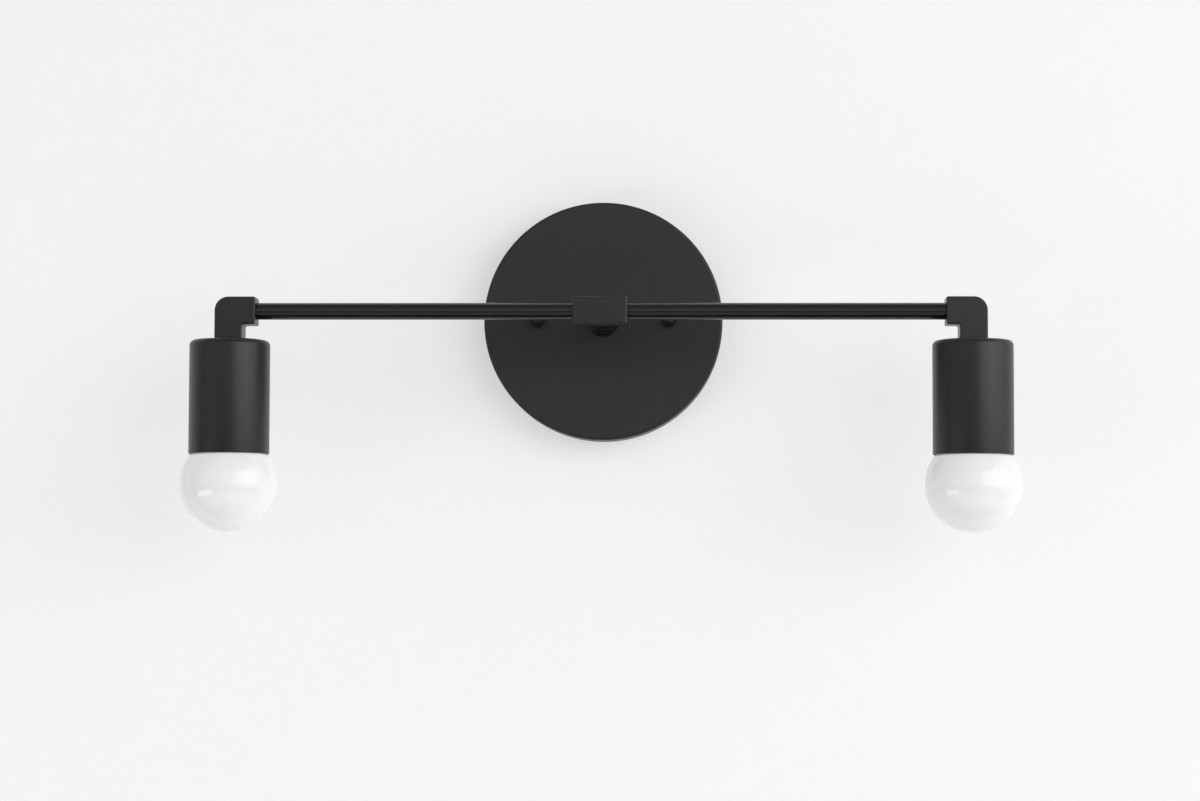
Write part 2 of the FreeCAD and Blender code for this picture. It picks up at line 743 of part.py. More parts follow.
def bulb_insulator():
    """Black glass cone between the tip and the threaded shell."""
    inside = base_root_radius - shell_sheet - thread_fit
    waist = base_root_radius - insulator_rim
    top = bulb_top - tip_height
    seat = insulator_height + shell_sheet
    return turned([(0, 0), (tip_radius, 0), (waist - thread_fit, insulator_height),
                   (waist - thread_fit, seat), (inside, seat), (inside, seat + insulator_seat),
                   (0, seat + insulator_seat)], at(0, 0, top), DOWN)


def bulb_base():
    """Threaded lamp base with a plain skirt that takes the glass neck."""
    inside = base_root_radius - shell_sheet
    waist = base_root_radius - insulator_rim
    skirt = neck_radius + neck_fit
    length = base_shell_top - base_shell_end
    skirt_start = base_shell_top - skirt_top
    shell = turned([(waist, 0), (base_root_radius, 0), (base_root_radius, skirt_start),
                    (skirt + shell_sheet, skirt_start), (skirt + shell_sheet, length), (skirt, length),
                    (skirt, skirt_start + shell_sheet), (inside, skirt_start + shell_sheet),
                    (inside, shell_sheet), (waist, shell_sheet)], at(0, 0, base_shell_top), DOWN)
    ridge = thread_ridge(base_root_radius - thread_bite, ridge_crest_radius, base_thread_turns,
                         shell_thread_start + thread_pitch / 2)
    return shell.fuse(ridge)


def globe_profile(wall):
    """Radii and levels of the globe's skin, this far in from the outside."""
    ball = globe_radius - wall
    neck = neck_radius - wall
    blend = neck_blend_radius + wall
    rise = math.sqrt((ball + blend) ** 2 - (neck + blend) ** 2)
    touch = ball / (ball + blend)
    touch_radius = (neck + blend) * touch
    touch_rise = rise * touch
    middle_angle = (math.atan2(rise, neck + blend) + math.pi) / 2 + math.pi / 2
    return {"ball": ball, "neck": neck, "blend_level": globe_centre + rise,
            "touch": (touch_radius, touch_rise),
            "blend_middle": (neck + blend + blend * math.cos(middle_angle),
                             globe_centre + rise + blend * math.sin(middle_angle))}


def bulb_globe():
    """Blown glass: a ball drawn into a short neck that fits in the base."""
    outer = globe_profile(0)
    inner = globe_profile(globe_wall)
    neck_top = skirt_top - shell_sheet - neck_fit
    side_share = math.sqrt(0.5)

    def low_middle(skin):
        return (skin["ball"] * side_share, globe_centre - skin["ball"] * side_share)

    def equator(skin):
        return (skin["ball"], globe_centre)

    def upper_middle(skin):
        angle = math.atan2(skin["touch"][1], skin["touch"][0]) / 2
        return (skin["ball"] * math.cos(angle), globe_centre + skin["ball"] * math.sin(angle))

    def touch(skin):
        return (skin["touch"][0], globe_centre + skin["touch"][1])

    profile = [(0, globe_centre - outer["ball"]),
               low_middle(outer) + equator(outer),
               upper_middle(outer) + touch(outer),
               outer["blend_middle"] + (outer["neck"], outer["blend_level"]),
               (outer["neck"], neck_top), (inner["neck"], neck_top),
               (inner["neck"], inner["blend_level"]),
               inner["blend_middle"] + touch(inner),
               upper_middle(inner) + equator(inner),
               low_middle(inner) + (0, globe_centre - inner["ball"])]
    return turned(profile, at(0, 0, 0), UP)


def mount_end():
    return skirt_top - shell_sheet - neck_fit - mount_height


def bulb_stem():
    """Glass mount: a flare sealed in the neck and a rod that carries the filament."""
    flare = neck_radius - globe_wall - thread_fit
    return turned([(flare, 0), (flare, mount_sheet), (mount_rod_radius, mount_flare_height),
                   (mount_rod_radius, mount_height), (0, mount_height), (0, mount_flare_height - mount_sheet),
                   (flare - mount_sheet, 0)],
                  at(0, 0, mount_end() + mount_height), DOWN)


def bulb_filament():
    """Two support wires spread from the mount, with the coil between their ends."""
    half = filament_span / 2
    top = mount_end()
    low = top - support_drop
    coil = rod(filament_diameter / 2, filament_span, at(-half, 0, low), ACROSS)
    pieces = []
    for side in (LEFT, RIGHT):
        start = at(side * mount_rod_radius / 2, 0, top - support_diameter / 2)
        reach = at(side * (half - support_diameter), 0, low) - start
        pieces.append(rod(support_diameter / 2, reach.Length, start, reach))
    return coil.fuse(pieces).removeSplitter()


def lead(side, colour):
    """One insulated lead from its wire connector, through stem, tee, arm and elbow, to its terminal."""
    colour_side = LEFT if colour == "black" else RIGHT
    rear = side == colour_side
    level = layer_offset if side == LEFT else -layer_offset
    row = -side_offset if rear else side_offset
    out = arm_standoff + row
    across = colour_side * side_offset
    lamp = side * lamp_across
    end = row / side_offset * (terminal_radius - terminal_screw_head_diameter / 2 - spigot_end_gap)
    bare_end = row / side_offset * (terminal_radius - terminal_screw_diameter / 2 - thread_fit)
    tee_bend = bend_radius_small if rear else bend_radius_small + 2 * side_offset
    start = colour_side * (connector_mouth_offset + connector_grip)
    points = [at(start, lead_turn, level), at(across, lead_turn, level), at(across, out, level),
              at(lamp, out, level), at(lamp, out, terminal_lead_level),
              at(lamp, arm_standoff + end, terminal_lead_level)]
    radii = [bend_radius_small, tee_bend, bend_radius_elbow, bend_radius_small]
    path = rounded_path(points, radii)
    insulation = wire_along(path, lead_radius)
    print("lead", colour, "left" if side == LEFT else "right", "length", round(path.Length, 1),
          "volume ratio", round(insulation.Volume / (math.pi * lead_radius ** 2 * path.Length), 4))
    bare = rod(conductor_diameter / 2, abs(bare_end - end) + lead_radius,
               at(lamp, arm_standoff + end - row / side_offset * lead_radius, terminal_lead_level),
               at(0, row / side_offset, 0))
    return insulation.fuse(bare)


def wire_connector(side):
    """Tapered plastic cap twisted over two leads, with grip ribs."""
    bore = layer_offset + lead_radius + connector_clearance
    mouth = bore + connector_wall
    base = at(side * connector_mouth_offset, lead_turn, 0)
    bore_depth = connector_length * connector_depth_share
    cap = turned([(bore, 0), (mouth, 0), (connector_tip_radius, connector_length), (0, connector_length),
                  (0, bore_depth), (bore, bore_depth)], base, ACROSS * side)
    half = connector_rib_width / 2
    deep = connector_tip_radius + connector_rib_depth
    groove = block(at(0, -half, deep), at(connector_length, half, mouth + cut_overrun))
    groove.translate(at(connector_rib_width, 0, 0))
    if side == LEFT:
        groove = groove.mirror(FreeCAD.Vector(0, 0, 0), ACROSS)
    groove.translate(base)
    for step in range(connector_rib_count):
        rib = groove.copy()
        rib.rotate(base, ACROSS, 360 * step / connector_rib_count)
        cap = cap.cut(rib)
    return cap


def hang_on_elbow(shape, side):
    """Move a piece made on the Z axis to its lamp. The right lamp is turned half round."""
    placed = shape.copy()
    if side == RIGHT:
        placed.rotate(FreeCAD.Vector(0, 0, 0), UP, 180)
    placed.translate(at(side * lamp_across, arm_standoff, 0))
    return placed


SIDES = {"left": LEFT, "right": RIGHT}
pieces = {
    "canopy": canopy(),
    "mounting_strap": mounting_strap(),
    "stud_jam_nuts": stud_jam_nuts(),
    "ground_screw": ground_screw(),
    "ground_lead": ground_lead(),
    "stem": stem(),
    "stem_collar": stem_collar(),
    "stem_lock_washer": stem_lock_washer(),
    "stem_lock_nut": stem_lock_nut(),
    "tee": tee(),
    "wire_connector_black": wire_connector(LEFT),
    "wire_connector_white": wire_connector(RIGHT),
}
for name, side in SIDES.items():
    pieces["canopy_stud_" + name] = canopy_stud(side)
    pieces["cap_nut_" + name] = cap_nut(side)
    pieces["arm_" + name] = arm(side)
    pieces["elbow_" + name] = elbow(side)
    for colour in ("black", "white"):
        pieces["lead_" + colour + "_" + name] = lead(side, colour)

lamp_pieces = {
    "socket_nipple": socket_nipple(),
    "socket_cup": socket_cup(),
    "cup_lock_washer": cup_lock_washer(),
    "cup_lock_nut": cup_lock_nut(),
    "socket_bracket": socket_bracket(),
    "bracket_screws": bracket_screws(),
    "lampholder": lampholder(),
    "terminal_plates": terminal_plates(),
    "terminal_screws": terminal_screws(),
    "screw_shell": screw_shell(),
    "centre_contact": centre_contact(),
    "bulb_tip": bulb_tip(),
    "bulb_insulator": bulb_insulator(),
    "bulb_base": bulb_base(),
    "bulb_globe": bulb_globe(),
    "bulb_stem": bulb_stem(),
    "bulb_filament": bulb_filament(),
}
for kind, shape in lamp_pieces.items():
    for name, side in SIDES.items():
        pieces[kind + "_" + name] = hang_on_elbow(shape, side)

for node, shape in pieces.items():
    shape.exportStep("parts/" + node + ".step")
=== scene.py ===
import math

import bmesh
import bpy
from mathutils import Matrix, Vector


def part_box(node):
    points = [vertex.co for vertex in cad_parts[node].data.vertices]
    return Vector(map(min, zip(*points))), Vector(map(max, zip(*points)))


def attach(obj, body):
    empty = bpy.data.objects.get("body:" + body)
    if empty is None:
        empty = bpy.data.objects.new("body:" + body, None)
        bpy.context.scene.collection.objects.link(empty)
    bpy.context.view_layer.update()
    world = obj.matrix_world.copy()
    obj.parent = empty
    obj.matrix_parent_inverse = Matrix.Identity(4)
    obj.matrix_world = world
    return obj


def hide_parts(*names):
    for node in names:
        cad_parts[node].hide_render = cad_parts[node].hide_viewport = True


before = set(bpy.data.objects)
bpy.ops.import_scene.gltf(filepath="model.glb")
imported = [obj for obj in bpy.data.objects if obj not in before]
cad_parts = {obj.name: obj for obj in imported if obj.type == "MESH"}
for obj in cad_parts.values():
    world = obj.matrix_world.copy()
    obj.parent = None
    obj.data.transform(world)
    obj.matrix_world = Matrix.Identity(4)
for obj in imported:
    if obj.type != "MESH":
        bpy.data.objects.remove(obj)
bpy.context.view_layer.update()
scene = bpy.context.scene


# Camera
# It stands about a metre and a half out from the wall, a little right of the canopy and lower
# than the arms, and looks slightly up through a long lens.
camera_place = Vector((0.04409, -1.56287, -0.13697))
camera_yaw = -0.0296
camera_pitch = 0.0612
camera_roll = 0.0025
camera_lens_mm = 87.325
camera_sensor_mm = 36
camera_far_limit = 50

ahead = Vector((math.sin(camera_yaw) * math.cos(camera_pitch),
                math.cos(camera_yaw) * math.cos(camera_pitch), math.sin(camera_pitch)))
level = Vector((math.cos(camera_yaw), -math.sin(camera_yaw), 0))
rise = level.cross(ahead)
camera_right = level * math.cos(camera_roll) + rise * math.sin(camera_roll)
camera_up = rise * math.cos(camera_roll) - level * math.sin(camera_roll)
camera_data = bpy.data.cameras.new("camera")
camera_data.lens = camera_lens_mm
camera_data.sensor_width = camera_sensor_mm
camera_data.clip_end = camera_far_limit
camera = bpy.data.objects.new("camera", camera_data)
camera.matrix_world = (Matrix.Translation(camera_place)
                       @ Matrix((camera_right, camera_up, -ahead)).transposed().to_4x4())
scene.collection.objects.link(camera)
scene.camera = camera
scene.view_settings.view_transform = "Standard"


# Wall and floor
# A painted plaster wall, with the round opening of an outlet box behind the canopy, and a pale
# floor below. From behind or from underneath they let the camera see through to the fixture.
wall_gap = 0.0003
wall_reach = 3.0
wall_height = 1.9
floor_depth = 1.1
floor_reach = 4.0
box_opening_radius = 0.058
opening_steps = 96
wall_color = (0.97, 0.97, 0.967, 1)
wall_roughness = 0.9
wall_gloss = 0.15
wall_glow_color = (1, 1, 1, 1)
wall_glow_share = 0.42
plaster_scale = 220
plaster_relief = 0.12
plaster_depth = 0.0004
smallest_share = 1e-6


def new_shader(name):
    """A material with its node tree emptied to a Principled shader and the output."""
    material = bpy.data.materials.new(name)
    material.use_nodes = True
    tree = material.node_tree
    tree.nodes.clear()
    output = tree.nodes.new("ShaderNodeOutputMaterial")
    shader = tree.nodes.new("ShaderNodeBsdfPrincipled")
    tree.links.new(shader.outputs["BSDF"], output.inputs["Surface"])
    return material, tree, shader


def noise(tree, scale, detail, stretch=(1, 1, 1)):
    """Noise on the object's own coordinates. Scale counts features to the metre."""
    place = tree.nodes.new("ShaderNodeTexCoord")
    mapping = tree.nodes.new("ShaderNodeMapping")
    mapping.inputs["Scale"].default_value = stretch
    texture = tree.nodes.new("ShaderNodeTexNoise")
    texture.inputs["Scale"].default_value = scale
    texture.inputs["Detail"].default_value = detail
    tree.links.new(place.outputs["Object"], mapping.inputs["Vector"])
    tree.links.new(mapping.outputs["Vector"], texture.inputs["Vector"])
    return texture.outputs[0]


def relief(tree, shader, height, strength, depth):
    """Raise the surface a little by a pattern."""
    bump = tree.nodes.new("ShaderNodeBump")
    bump.inputs["Strength"].default_value = strength
    bump.inputs["Distance"].default_value = depth
    tree.links.new(height, bump.inputs["Height"])
    tree.links.new(bump.outputs["Normal"], shader.inputs["Normal"])


def mixed(tree, amount, first, second):
    """Blend two shaders."""
    mix = tree.nodes.new("ShaderNodeMixShader")
    tree.links.new(amount, mix.inputs["Fac"])
    tree.links.new(first, mix.inputs[1])
    tree.links.new(second, mix.inputs[2])
    return mix.outputs["Shader"]


def do_math(tree, operation, *values):
    """A Math node fed by sockets or numbers."""
    node = tree.nodes.new("ShaderNodeMath")
    node.operation = operation
    for socket, value in zip(node.inputs, values):
        if isinstance(value, (int, float)):
            socket.default_value = value
        else:
            tree.links.new(value, socket)
    return node.outputs["Value"]


def evenly_white(tree, painted):
    """To the camera, and in gloss and glass, the paint looks partly evenly lit, as in the photo."""
    glow = tree.nodes.new("ShaderNodeEmission")
    glow.inputs["Color"].default_value = wall_glow_color
    ray = tree.nodes.new("ShaderNodeLightPath")
    seen = do_math(tree, "MAXIMUM", ray.outputs["Is Camera Ray"], ray.outputs["Is Glossy Ray"])
    seen = do_math(tree, "MAXIMUM", seen, ray.outputs["Is Transmission Ray"])
    share = do_math(tree, "MULTIPLY", seen, wall_glow_share)
    return mixed(tree, share, painted, glow.outputs["Emission"])


def see_through_from_behind(tree, painted):
    """Only the side that faces the room is painted."""
    clear = tree.nodes.new("ShaderNodeBsdfTransparent")
    facing = tree.nodes.new("ShaderNodeNewGeometry")
    surface = mixed(tree, facing.outputs["Backfacing"], painted, clear.outputs["BSDF"])
    tree.links.new(surface, tree.get_output_node("ALL").inputs["Surface"])


plaster, tree, shader = new_shader("painted plaster")
shader.inputs["Base Color"].default_value = wall_color
shader.inputs["Roughness"].default_value = wall_roughness
shader.inputs["Specular IOR Level"].default_value = wall_gloss
relief(tree, shader, noise(tree, plaster_scale, detail=3), plaster_relief, plaster_depth)
see_through_from_behind(tree, evenly_white(tree, shader.outputs["BSDF"]))


def stage_mesh(name, points, faces):
    """A plastered face of the room. It isn't part of the fixture."""
    mesh = bpy.data.meshes.new(name)
    mesh.from_pydata(points, [], faces)
    mesh.materials.append(plaster)
    thing = bpy.data.objects.new(name, mesh)
    scene.collection.objects.link(thing)
    return thing


opening = []
edge = []
ring = []
for step in range(opening_steps):
    turn = math.tau * step / opening_steps
    across, up = math.cos(turn), math.sin(turn)
    tall = wall_height if up > 0 else floor_depth
    reach = min(wall_reach / max(abs(across), smallest_share), tall / max(abs(up), smallest_share))
    opening.append((box_opening_radius * across, wall_gap, box_opening_radius * up))
    edge.append((across * reach, wall_gap, up * reach))
    after = (step + 1) % opening_steps
    ring.append((step, step + opening_steps, after + opening_steps, after))
stage_mesh("wall", opening + edge, ring)
floor = stage_mesh("floor", [(-wall_reach, -floor_reach, -floor_depth),
                             (wall_reach, -floor_reach, -floor_depth),
                             (wall_reach, wall_gap, -floor_depth),
                             (-wall_reach, wall_gap, -floor_depth)], [(0, 1, 2, 3)])
floor.visible_glossy = False


# Light
# A soft window on the right, a soft box in front and to the right, a weak low fill on the left,
# and the pale room around, brighter in front and on the right. The camera sees it as white.
room_level = 2.46
room_heights = ((-1.0, 0.14), (-0.84, 0.08), (-0.70, 0.80), (-0.48, 0.95), (-0.34, 0.22),
                (-0.16, 0.16), (0.0, 0.80), (0.30, 0.92), (0.60, 0.55), (0.85, 0.45), (1.0, 0.5))
room_sides = ((-1.0, 0.42), (-0.5, 0.40), (-0.15, 0.40), (0.15, 0.40), (0.5, 0.46),
              (0.85, 0.71), (1.0, 0.80))
room_depths = ((-1.0, 1.0), (-0.6, 0.95), (-0.25, 0.65), (0.0, 0.5))
room_white = (1, 1, 1, 1)


def soft_light(name, place, aim, width, height, power):
    """A rectangular lamp that faces a point."""
    data = bpy.data.lights.new(name, "AREA")
    data.shape = "RECTANGLE"
    data.size = width
    data.size_y = height
    data.energy = power
    lamp = bpy.data.objects.new(name, data)
    lamp.location = place
    lamp.rotation_euler = (Vector(aim) - Vector(place)).to_track_quat("-Z", "Y").to_euler()
    scene.collection.objects.link(lamp)


soft_light("window", place=(1.75, -0.65, 0.40), aim=(0, -0.05, 0), width=1.2, height=1.5, power=6.2)
soft_light("soft box", place=(1.3, -1.7, 0.35), aim=(0, 0, 0), width=1.5, height=1.3, power=9.5)
soft_light("fill", place=(-1.8, -1.3, -0.85), aim=(0, -0.05, -0.05), width=1.4, height=0.4, power=5.4)


def room_ramp(tree, direction, levels):
    """Brightness of the room by how far a direction points along an axis, from -1 to 1."""
    share = tree.nodes.new("ShaderNodeMapRange")
    share.inputs["From Min"].default_value = -1
    share.inputs["From Max"].default_value = 1
    tree.links.new(direction, share.inputs["Value"])
    ramp = tree.nodes.new("ShaderNodeValToRGB")
    ramp.color_ramp.interpolation = "EASE"
    stops = ramp.color_ramp.elements  # a new ramp has two
    for index, (place, light) in enumerate(levels):
        stop = stops[index] if index < 2 else stops.new(1)
        stop.position = (place + 1) / 2
        stop.color = (light, light, light, 1)
    tree.links.new(share.outputs["Result"], ramp.inputs["Fac"])
    return ramp.outputs["Color"]


world = bpy.data.worlds.new("room")
world.use_nodes = True
scene.world = world
tree = world.node_tree
tree.nodes.clear()
direction = tree.nodes.new("ShaderNodeTexCoord")
parts = tree.nodes.new("ShaderNodeSeparateXYZ")
tree.links.new(direction.outputs["Generated"], parts.inputs[0])
flat_levels = do_math(tree, "MULTIPLY", room_ramp(tree, parts.outputs["Z"], room_heights),
                      room_ramp(tree, parts.outputs["X"], room_sides))
levels = do_math(tree, "MULTIPLY", flat_levels, room_ramp(tree, parts.outputs["Y"], room_depths))
room = tree.nodes.new("ShaderNodeBackground")
room.inputs["Strength"].default_value = room_level
tree.links.new(levels, room.inputs["Color"])
white = tree.nodes.new("ShaderNodeBackground")
white.inputs["Color"].default_value = room_white
ray = tree.nodes.new("ShaderNodeLightPath")
around = mixed(tree, ray.outputs["Is Camera Ray"], room.outputs["Background"],
               white.outputs["Background"])
world_output = tree.nodes.new("ShaderNodeOutputWorld")
tree.links.new(around, world_output.inputs["Surface"])


# Mounting strap, jam nuts and ground screw
# Stamped steel strap for the outlet box, bright zinc plated, with the nuts that lock the studs
# in it. The ground screw is dyed green, as such screws are.
zinc_light = (0.66, 0.66, 0.63, 1)
zinc_dark = (0.50, 0.51, 0.50, 1)
green_light = (0.05, 0.33, 0.12, 1)
green_dark = (0.03, 0.22, 0.08, 1)
pattern_trough = 0.3
pattern_peak = 0.7
plating_cloud_scale = 160
plating_line_scale = 1400
plating_line_stretch = (1, 1, 12)
plating_relief = 0.12
plating_depth = 0.00003
stamped_edge = 0.00018
ease_segments = 2
flat_angle = math.radians(0.5)
merge_distance = 1e-6
sharp_angle = math.radians(35)


def between(tree, source, low, high):
    """Spread the middle of a pattern from one number to another."""
    spread = tree.nodes.new("ShaderNodeMapRange")
    spread.inputs["From Min"].default_value = pattern_trough
    spread.inputs["From Max"].default_value = pattern_peak
    spread.inputs["To Min"].default_value = low
    spread.inputs["To Max"].default_value = high
    tree.links.new(source, spread.inputs["Value"])
    return spread.outputs["Result"]


def clouded(tree, shader, first, second, scale, detail):
    """A base colour that drifts softly between two tones."""
    mix = tree.nodes.new("ShaderNodeMix")
    mix.data_type = "RGBA"
    tones = [socket for socket in mix.inputs if socket.type == "RGBA"]
    tones[0].default_value = first
    tones[1].default_value = second
    tree.links.new(between(tree, noise(tree, scale, detail), 0, 1), mix.inputs["Factor"])
    blend = [socket for socket in mix.outputs if socket.type == "RGBA"][0]
    tree.links.new(blend, shader.inputs["Base Color"])


def uneven_gloss(tree, shader, source, roughness, smoother, rougher):
    """Roughness that follows a fine pattern, a little below and above a level."""
    spread = between(tree, source, roughness - smoother, roughness + rougher)
    tree.links.new(spread, shader.inputs["Roughness"])


def plated(name, light, dark, roughness):
    """Plated or bright metal with faint drawing lines and a cloudy tint."""
    material, tree, shader = new_shader(name)
    shader.inputs["Metallic"].default_value = 1
    clouded(tree, shader, light, dark, plating_cloud_scale, detail=4)
    lines = noise(tree, plating_line_scale, detail=2, stretch=plating_line_stretch)
    uneven_gloss(tree, shader, lines, roughness, smoother=0.06, rougher=0.08)
    relief(tree, shader, lines, plating_relief, plating_depth)
    return material


def show(name, mesh, body, finish_slot, *nodes):
    """Put a finished mesh in the scene as one piece that stands for these frame nodes."""
    piece = bpy.data.objects.new(name, mesh)
    scene.collection.objects.link(piece)
    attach(piece, body)
    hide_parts(*nodes)


def finished_mesh(carrier):
    """The mesh that an object's modifiers make."""
    return bpy.data.meshes.new_from_object(carrier.evaluated_get(bpy.context.evaluated_depsgraph_get()))


def eased(node, material, width=stamped_edge):
    """A node's own shape, with its doubled points merged and its sharp edges eased."""
    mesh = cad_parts[node].data.copy()
    mesh.name = node + " eased"
    shape = bmesh.new()
    shape.from_mesh(mesh)
    bmesh.ops.remove_doubles(shape, verts=shape.verts, dist=merge_distance)
    bmesh.ops.dissolve_limit(shape, angle_limit=flat_angle, verts=shape.verts, edges=shape.edges)
    shape.to_mesh(mesh)
    shape.free()
    if "custom_normal" in mesh.attributes:
        mesh.attributes.remove(mesh.attributes["custom_normal"])
    mesh.materials.clear()
    mesh.materials.append(material)
    mesh.shade_smooth()
    carrier = bpy.data.objects.new(node + " carrier", mesh)
    scene.collection.objects.link(carrier)
    bevel = carrier.modifiers.new("ease", "BEVEL")
    bevel.width = width
    bevel.segments = ease_segments
    bevel.limit_method = "ANGLE"
    bevel.angle_limit = sharp_angle
    finished = finished_mesh(carrier)
    finished.set_sharp_from_angle(angle=sharp_angle)
    bpy.data.objects.remove(carrier)
    return finished


zinc = plated("zinc plating", zinc_light, zinc_dark, roughness=0.34)
green = plated("green dyed plating", green_light, green_dark, roughness=0.36)
show("steel_strap", eased("mounting_strap", zinc), "fixture", "zinc_steel", "mounting_strap")
show("locking_nuts", eased("stud_jam_nuts", zinc), "fixture", "zinc_steel", "stud_jam_nuts")
show("earth_screw", eased("ground_screw", green), "fixture", "green_screw", "ground_screw")


# Canopy studs
# Headless screws cut from threaded steel rod and zinc plated. They stand in the strap, and their
# thread shows between the strap and the canopy.
stud_pitch = 0.000794
stud_thread_depth = 0.00045
stud_steps = 40
stud_sharp = math.radians(70)
rows_per_turn = 8
fewest_rows = 4


def tree_input(tree, name, default, kind="NodeSocketFloat"):
    """A named input of the tree. Its identifier is what a modifier is set by."""
    socket = tree.interface.new_socket(name, in_out="INPUT", socket_type=kind)
    if default is not None:
        socket.default_value = default
    return socket.identifier


def turning_tree():
    """Turn a profile of points about Z. Where the profile says so, a thread is rolled into it."""
    tree = bpy.data.node_groups.new("turned and threaded", "GeometryNodeTree")
    sockets = {
        "profile": tree_input(tree, "Profile", None, "NodeSocketGeometry"),
        "steps": tree_input(tree, "Steps round", 96, "NodeSocketInt"),
        "pitch": tree_input(tree, "Thread pitch", 0.001),
        "depth": tree_input(tree, "Thread depth", 0.0),
        "crest": tree_input(tree, "Crest level", 0.0),
        "sharp": tree_input(tree, "Sharp angle", sharp_angle),
        "finish": tree_input(tree, "Finish", None, "NodeSocketMaterial"),
    }
    tree.interface.new_socket("Turned", in_out="OUTPUT", socket_type="NodeSocketGeometry")
    nodes, links = tree.nodes, tree.links
    given = nodes.new("NodeGroupInput")

    # A flat grid, one row for each point of the profile
    size = nodes.new("GeometryNodeAttributeDomainSize")
    links.new(given.outputs["Profile"], size.inputs[0])
    grid = nodes.new("GeometryNodeMeshGrid")
    grid.inputs["Size X"].default_value = 1
    grid.inputs["Size Y"].default_value = 1
    links.new(do_math(tree, "ADD", given.outputs["Steps round"], 1), grid.inputs["Vertices X"])
    links.new(size.outputs["Point Count"], grid.inputs["Vertices Y"])
    place = nodes.new("GeometryNodeInputPosition")
    flat = nodes.new("ShaderNodeSeparateXYZ")
    links.new(place.outputs[0], flat.inputs[0])
    turn = do_math(tree, "MULTIPLY", flat.outputs["X"], math.tau)
    last_row = do_math(tree, "SUBTRACT", size.outputs["Point Count"], 1)
    up_grid = do_math(tree, "ADD", flat.outputs["Y"], 0.5)
    row = do_math(tree, "ROUND", do_math(tree, "MULTIPLY", up_grid, last_row))

    # The profile's own point and its share of thread for that row
    point = nodes.new("GeometryNodeSampleIndex")
    point.data_type = "FLOAT_VECTOR"
    links.new(given.outputs["Profile"], point.inputs["Geometry"])
    links.new(place.outputs[0], point.inputs["Value"])
    links.new(row, point.inputs["Index"])
    named = nodes.new("GeometryNodeInputNamedAttribute")
    named.data_type = "FLOAT"
    named.inputs["Name"].default_value = "thread"
    amount = nodes.new("GeometryNodeSampleIndex")
    amount.data_type = "FLOAT"
    links.new(given.outputs["Profile"], amount.inputs["Geometry"])
    links.new(named.outputs["Attribute"], amount.inputs["Value"])
    links.new(row, amount.inputs["Index"])
    apart = nodes.new("ShaderNodeSeparateXYZ")
    links.new(point.outputs["Value"], apart.inputs[0])

    # The thread: a groove that climbs one pitch in each turn
    along = do_math(tree, "SUBTRACT", apart.outputs["Z"], given.outputs["Crest level"])
    turns_up = do_math(tree, "DIVIDE", along, given.outputs["Thread pitch"])
    phase = do_math(tree, "SUBTRACT", do_math(tree, "MULTIPLY", turns_up, math.tau), turn)
    wave = do_math(tree, "MULTIPLY", do_math(tree, "COSINE", phase), 0.5)
    valley = do_math(tree, "SUBTRACT", 0.5, wave)
    groove = do_math(tree, "MULTIPLY", valley, given.outputs["Thread depth"])
    cut = do_math(tree, "MULTIPLY", groove, amount.outputs["Value"])
    radius = do_math(tree, "SUBTRACT", apart.outputs["X"], cut)

    # Each point swung to its place round the axis
    together = nodes.new("ShaderNodeCombineXYZ")
    links.new(radius, together.inputs["X"])
    links.new(apart.outputs["Z"], together.inputs["Z"])
    swing = nodes.new("ShaderNodeVectorRotate")
    swing.rotation_type = "Z_AXIS"
    links.new(together.outputs[0], swing.inputs["Vector"])
    links.new(turn, swing.inputs["Angle"])
    moved = nodes.new("GeometryNodeSetPosition")
    links.new(grid.outputs["Mesh"], moved.inputs["Geometry"])
    links.new(swing.outputs["Vector"], moved.inputs["Position"])
    merged = nodes.new("GeometryNodeMergeByDistance")
    merged.inputs["Distance"].default_value = merge_distance
    links.new(moved.outputs[0], merged.inputs["Geometry"])

    # Smooth faces, with the sharper edges kept crisp
    faces = nodes.new("GeometryNodeSetShadeSmooth")
    links.new(merged.outputs[0], faces.inputs["Geometry"])
    bend = nodes.new("GeometryNodeInputMeshEdgeAngle")
    gentle = nodes.new("FunctionNodeCompare")
    gentle.operation = "LESS_THAN"
    links.new(bend.outputs["Unsigned Angle"], gentle.inputs[0])
    links.new(given.outputs["Sharp angle"], gentle.inputs[1])
    edges = nodes.new("GeometryNodeSetShadeSmooth")
    edges.domain = "EDGE"
    links.new(faces.outputs[0], edges.inputs["Geometry"])
    links.new(gentle.outputs[0], edges.inputs["Shade Smooth"])
    real = nodes.new("GeometryNodeRealizeInstances")
    links.new(edges.outputs[0], real.inputs[0])
    finish = nodes.new("GeometryNodeSetMaterial")
    links.new(real.outputs[0], finish.inputs["Geometry"])
    links.new(given.outputs["Finish"], finish.inputs["Material"])
    result = nodes.new("NodeGroupOutput")
    links.new(finish.outputs[0], result.inputs[0])
    return tree, sockets


turning, turning_sockets = turning_tree()


def turned(name, profile, place, material, **settings):
    """A turned mesh. A profile point is (radius, along) or (radius, along, thread from 0 to 1)."""
    outline = bpy.data.meshes.new(name + " profile")
    count = len(profile)
    outline.from_pydata([(point[0], 0, point[1]) for point in profile],
                        [(index, index + 1) for index in range(count - 1)], [])
    thread = outline.attributes.new("thread", "FLOAT", "POINT")
    thread.data.foreach_set("value", [point[2] if len(point) > 2 else 0.0 for point in profile])
    carrier = bpy.data.objects.new(name + " carrier", outline)
    scene.collection.objects.link(carrier)
    modifier = carrier.modifiers.new("turn", "NODES")
    modifier.node_group = turning
    for key, value in dict(settings, finish=material).items():
        modifier[turning_sockets[key]] = value
    mesh = finished_mesh(carrier)
    mesh.name = name
    while len(mesh.materials) > 1:
        mesh.materials.pop(index=0)
    carrier.modifiers.remove(modifier)
    bpy.data.objects.remove(carrier)
    mesh.transform(place)
    return mesh


